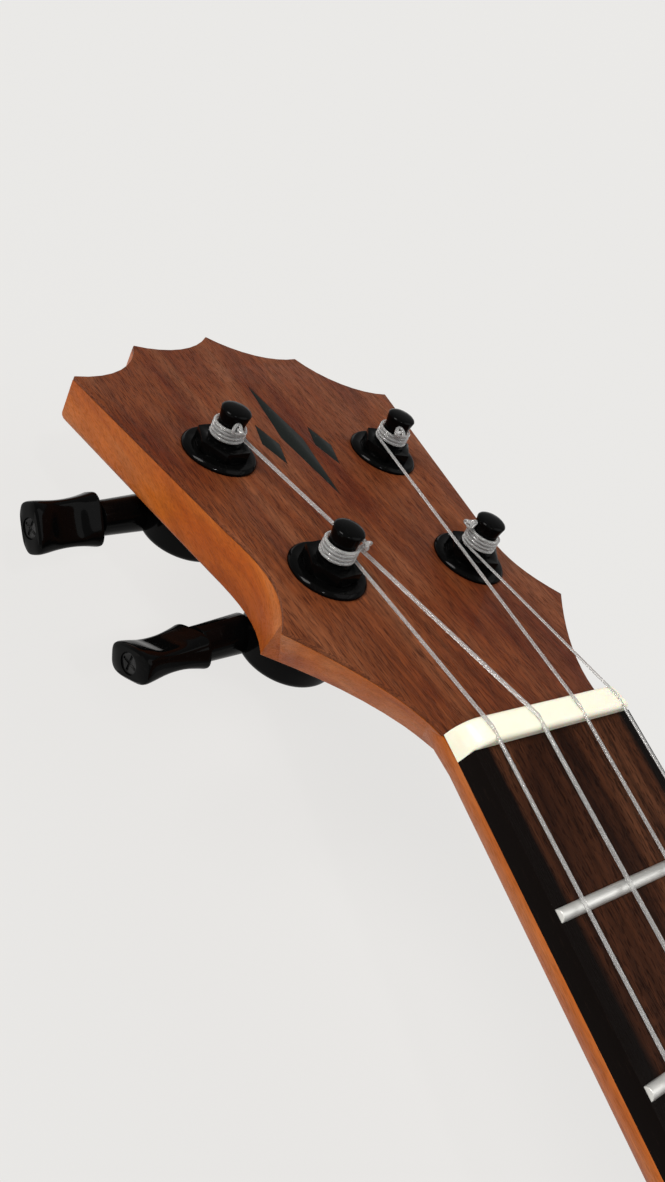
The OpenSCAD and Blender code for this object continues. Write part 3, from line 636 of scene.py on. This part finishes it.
def winding_line(post, hand, start, turns):
    """Turns up the post's waist, then a cut tail that curls beside the cap."""
    steps = round(turns * WRAP_STEPS)
    line = []
    for i in range(steps + 1):
        turn = turns * i / steps
        angle = start + hand * 2 * math.pi * turn
        h = WRAP_START + WRAP_RISE * turn
        line.append(on_face(post.x + WRAP_R * math.cos(angle), post.y + WRAP_R * math.sin(angle), h))
    ahead = (line[-1] - line[-2]).normalized()
    out = (line[-1] - on_face(post.x, post.y, h)).normalized()
    curl = []
    for i in range(1, CURL_STEPS + 1):
        t = i / CURL_STEPS
        a = 2 * math.pi * CURL_TURNS * t
        drift = out * (CURL_OUT * t) + ahead * (CURL_AHEAD * t)
        rise = CURL_RISE * (1 - math.cos(a))
        loop = ahead * math.sin(a) + FACE_UP * rise + out * (CURL_SWAY * math.sin(CURL_SWAY_RATE * a))
        curl.append(line[-1] + drift + loop * CURL_R * (1 - CURL_TIGHTENS * t))
    return line + curl


# Button: the CAD paddle made finer, with a hollow in each broad face
BUTTON_RINGS = 40
BUTTON_SIDES = 64
BUTTON_EDGE = 0.05
WAIST = (4.1 * MM, 2.2 * MM)
END_GAIN = (0.8 * MM, 0.95 * MM)
TIP_ROUND = (0.5 * MM, 0.35 * MM)
HOLLOW = 0.45 * MM
HOLLOW_LENGTH = 0.24
HOLLOW_WIDTH = 0.72
SQUARENESS = 0.6
TIP_POWER = 12
TUCK = 0.14
SEAT_STEP = 0.92
BUTTON_CREASE = math.radians(35)
SCREW_R = 2.0 * MM
SCREW_SEAT = 0.9 * MM


def bow(c, power):
    """A cosine or sine pushed outward, so that its oval squares off."""
    return math.copysign(abs(c) ** power, c)


def paddle_ring(t, shrink):
    """Section of the paddle at t from its inner to its outer end, as (broad, thick) pairs."""
    swell = (2 * t - 1) ** 2
    half, thick = [WAIST[i] + END_GAIN[i] * swell - TIP_ROUND[i] * t ** TIP_POWER for i in (0, 1)]
    ring = []
    for i in range(BUTTON_SIDES):
        a = 2 * math.pi * i / BUTTON_SIDES
        v = shrink * half * bow(math.cos(a), SQUARENESS)
        w = shrink * thick * bow(math.sin(a), SQUARENESS)
        inside = math.exp(-((t - 0.5) / HOLLOW_LENGTH) ** 4) * math.exp(-(v / (HOLLOW_WIDTH * half)) ** 4)
        ring.append((v, w - math.copysign(min(HOLLOW * inside, abs(w)), w)))
    return ring


def button_axes(letter):
    """Centre, outward axis, broad direction and the two ends, from the CAD paddle."""
    joint = JOINT["button_" + letter]
    out, centre = Vector(joint["axis"]), Vector(joint["pos_m"])
    points = [v.co - centre for v in NODES["button_" + letter].data.vertices]
    reach = [p.dot(out) for p in points]
    flat = [p - out * d for p, d in zip(points, reach)]
    across = FACE_UP.cross(out).normalized()
    up = out.cross(across)
    angles = [math.radians(k) for k in range(180)]
    broad = max((across * math.cos(a) + up * math.sin(a) for a in angles),
                key=lambda way: sum(p.dot(way) ** 4 for p in flat))
    return centre, out, broad, min(reach), max(reach)


def button(letter):
    """The paddle with its hollows and the seat of its screw."""
    centre, out, broad, inner, outer = button_axes(letter)
    thick = out.cross(broad)
    shape = bmesh.new()
    rings = []
    for i in range(BUTTON_RINGS + 1):
        t = i / BUTTON_RINGS
        near = max(1 - min(t, 1 - t) / BUTTON_EDGE, 0)
        shrink = 1 - TUCK * (1 - math.sqrt(1 - near * near))
        rings.append([(inner + t * (outer - inner), p) for p in paddle_ring(t, shrink)])
    for scale, depth in ((1.0, 0), (SEAT_STEP, 0), (SEAT_STEP, SCREW_SEAT)):
        around = [2 * math.pi * i / BUTTON_SIDES for i in range(BUTTON_SIDES)]
        rings.append([(outer - depth, (scale * SCREW_R * math.cos(a), scale * SCREW_R * math.sin(a)))
                      for a in around])
    rings = [[shape.verts.new(centre + out * u + broad * v + thick * w) for u, (v, w) in ring]
             for ring in rings]
    for a, b in zip(rings, rings[1:]):
        for i in range(BUTTON_SIDES):
            j = (i + 1) % BUTTON_SIDES
            shape.faces.new((a[i], b[i], b[j], a[j]))
    shape.faces.new(rings[0])
    shape.faces.new(rings[-1][::-1])
    bmesh.ops.recalc_face_normals(shape, faces=shape.faces)
    mesh = finish_mesh(shape, "paddle_" + letter)
    mesh.set_sharp_from_angle(angle=BUTTON_CREASE)
    add_piece("paddle_" + letter, mesh, "button_" + letter, [MATERIALS["tuner_button"]])


for node in ("soundboard", "back_plate"):
    refined(node, 0.7, 3)
sides()
fingerboard()
neck()
refined("headstock_veneer", 0.35, 3)
refined("headstock_inlay", 0.05, 1)
nut()
refined("saddle", 0.3, 2)
refined("bridge", 0.5, 3, material=BRIDGE_ROSEWOOD)
refined("heel_cap", 0.3)
refined("rosette", 0.08, 1)
refined("frets", 0.12, 2)
refined("tuner_covers", 0.12)
refined("tuner_washers", 0.12)
refined("tuner_bushings", 0.15)
refined("tuner_mount_screws", 0.08)
for letter in STRINGS:
    string(letter)
    refined("housing_" + letter, 0.3, 3)
    refined("post_" + letter, 0.12)
    button(letter)
    refined("button_screw_" + letter, 0.06, 1, material=SCREW_BLACK)
    dress("worm_" + letter)
    dress("wheel_" + letter)
for node in ("neck_block", "tail_block", "top_linings", "back_linings", "top_braces", "back_braces",
             "bridge_plate", "position_dots", "neck_bolt", "neck_insert"):
    dress(node)


# ---------- Floor, light and camera ----------
FLOOR_GAP = 0.1 * MM
FLOOR_SIZE = 12
FLOOR_GLOW = 0.905


def floor():
    """A pale floor that glows a little, so that it reads as the photo's white ground."""
    bpy.ops.mesh.primitive_plane_add(size=FLOOR_SIZE, location=(0, 0, -FLOOR_GAP))
    plane = bpy.context.object
    plane.name = "floor"
    s = Shader("pale_floor")
    haze = s.noise(s.place((0.9, 0.9, 0.9)), 1)
    s.link(s.mix(haze, (0.075, 0.074, 0.073), (0.085, 0.084, 0.083)), "Base Color")
    s.set(Roughness=0.9, Specular_IOR_Level=0.1, Emission_Color=(0.80, 0.792, 0.776, 1))
    s.set(Emission_Strength=FLOOR_GLOW)
    plane.data.materials.append(s.material)


def sun(name, strength, angle, towards, colour=(1, 1, 1)):
    """A distant light; angle is the width of its disc in degrees."""
    data = bpy.data.lights.new(name, "SUN")
    data.energy = strength
    data.angle = math.radians(angle)
    data.color = colour
    lamp = bpy.data.objects.new(name, data)
    lamp.rotation_euler = Vector(towards).to_track_quat("-Z", "Y").to_euler()
    bpy.context.scene.collection.objects.link(lamp)


SKY = 0.45


def light():
    """An even sky, a broad key from the bass side, a soft fill and a small spark for the gloss."""
    world = bpy.data.worlds.new("studio")
    world.use_nodes = True
    background = world.node_tree.nodes["Background"]
    background.inputs["Color"].default_value = (0.80, 0.80, 0.80, 1)
    background.inputs["Strength"].default_value = SKY
    bpy.context.scene.world = world
    sun("key", 2.1, 22, (0.62, -0.30, -0.72), (1, 0.98, 0.95))
    sun("fill", 0.7, 50, (-0.5, 0.35, -0.8))
    sun("spark", 0.5, 3, (0.35, 0.45, -0.85))


SENSOR = 36
LENS = 32.94
SHIFT = (0.0031, -0.0052)
NEAREST = 0.01
EYE_SIDE = 131.7 * MM
EYE_BEFORE_NUT = 27.3 * MM
EYE_ABOVE = 100.2 * MM


def camera():
    """Close over the nut's bass end, looking along and down at the headstock."""
    data = bpy.data.cameras.new("camera")
    data.sensor_width = SENSOR
    data.lens = LENS
    data.shift_x, data.shift_y = SHIFT
    data.clip_start = NEAREST
    rig = bpy.data.objects.new("camera", data)
    right = (0.7461, -0.4072, 0.5267)
    up = (0.0745, 0.8373, 0.5417)
    back = (-0.6616, -0.3650, 0.6551)
    turn = Matrix((right, up, back)).transposed().to_4x4()
    eye = Vector((-EYE_SIDE, NUT_LOW.y - EYE_BEFORE_NUT, BOARD_TOP + EYE_ABOVE))
    rig.matrix_world = Matrix.Translation(eye) @ turn
    bpy.context.scene.collection.objects.link(rig)
    bpy.context.scene.camera = rig


floor()
light()
camera()
bpy.context.scene.view_settings.view_transform = "Standard"
